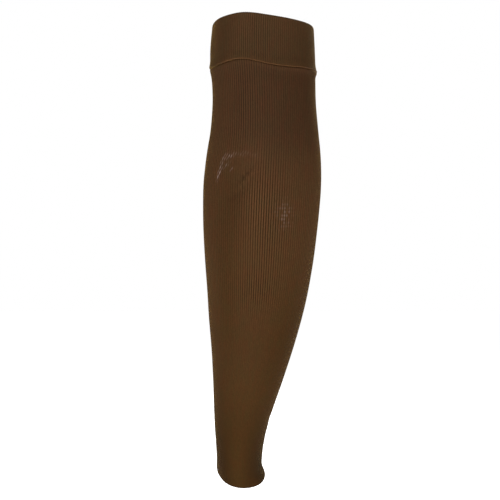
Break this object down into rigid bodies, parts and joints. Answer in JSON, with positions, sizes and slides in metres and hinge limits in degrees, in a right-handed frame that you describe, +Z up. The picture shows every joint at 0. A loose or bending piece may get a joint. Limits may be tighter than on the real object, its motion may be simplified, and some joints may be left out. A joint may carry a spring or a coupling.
{
  "type": "compression arm sleeve",
  "caption": "Seamless rib-knit compression arm sleeve, filled out and bent a little at the elbow, open at both ends, with a folded band and a soft seam roll at the upper arm.",
  "frame": {"origin": "about the middle of the folded top band, on the upper arm's axis, where the upper arm holds the sleeve up", "axes": "+Z up the arm towards the shoulder, -Y the elbow's side, +Y the crook's side, +X to the right for someone who looks at the elbow"},
  "size_m": [0.1095, 0.1343, 0.4429],
  "materials": {
    "sleeve_knit": "matte brown rib knit with a faint sheen",
    "band_knit": "matte brown fine rib knit, folded double"
  },
  "bodies": {
    "root": {"sleeve_tube": "sleeve_knit", "top_band": "band_knit"}
  },
  "joints": []
}
